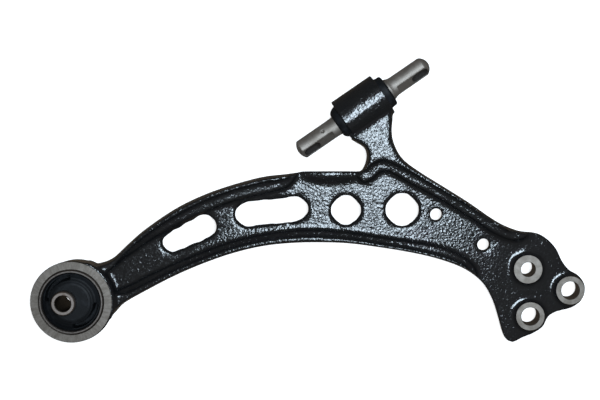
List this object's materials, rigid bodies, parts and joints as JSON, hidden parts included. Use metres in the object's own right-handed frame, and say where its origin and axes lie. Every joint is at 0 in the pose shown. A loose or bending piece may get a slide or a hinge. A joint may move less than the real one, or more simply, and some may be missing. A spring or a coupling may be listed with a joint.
{
  "type": "control arm",
  "caption": "Lower suspension control arm: a ribbed cast arm with a vertical rear bush, a horizontal bar-pin front bush and a drilled ball joint pad.",
  "frame": {"origin": "on the axis of the rear bush inner sleeve, halfway along it", "axes": "+Z along the rear bush sleeve, up when the arm lies flat; +X towards the ball joint pad; +Y towards the front bar pin"},
  "size_m": [0.5178, 0.2656, 0.058],
  "materials": {
    "arm_paint": "gloss black paint over a gritty casting, with bare machined faces",
    "rear_shell_steel": "bare drawn steel",
    "rear_rubber": "matt moulded rubber",
    "rear_sleeve_steel": "bare machined steel",
    "front_shell_steel": "bare drawn steel",
    "front_rubber": "matt moulded rubber",
    "bar_steel": "satin phosphated forging"
  },
  "bodies": {
    "arm": {"arm_casting": "arm_paint", "rear_bush_shell": "rear_shell_steel", "rear_bush_rubber": "rear_rubber", "front_bush_shell": "front_shell_steel", "front_bush_rubber": "front_rubber"},
    "rear_sleeve": {"rear_bush_sleeve": "rear_sleeve_steel"},
    "bar": {"front_bar_pin": "bar_steel"}
  },
  "joints": [
    {"name": "front_bush_twist", "type": "hinge", "parent": "arm", "child": "bar", "pos_m": [0.2765, 0.1795, 0], "axis": [0.8241, 0.5664, 0], "range_deg": [-20, 20], "stiffness_Nm_per_rad": 60},
    {"name": "rear_bush_tilt", "type": "hinge", "parent": "arm", "child": "rear_sleeve", "pos_m": [0, 0, 0], "axis": [0.8241, 0.5664, 0], "range_deg": [-12, 12], "stiffness_Nm_per_rad": 120, "deforming": ["rear_bush_rubber"]}
  ]
}
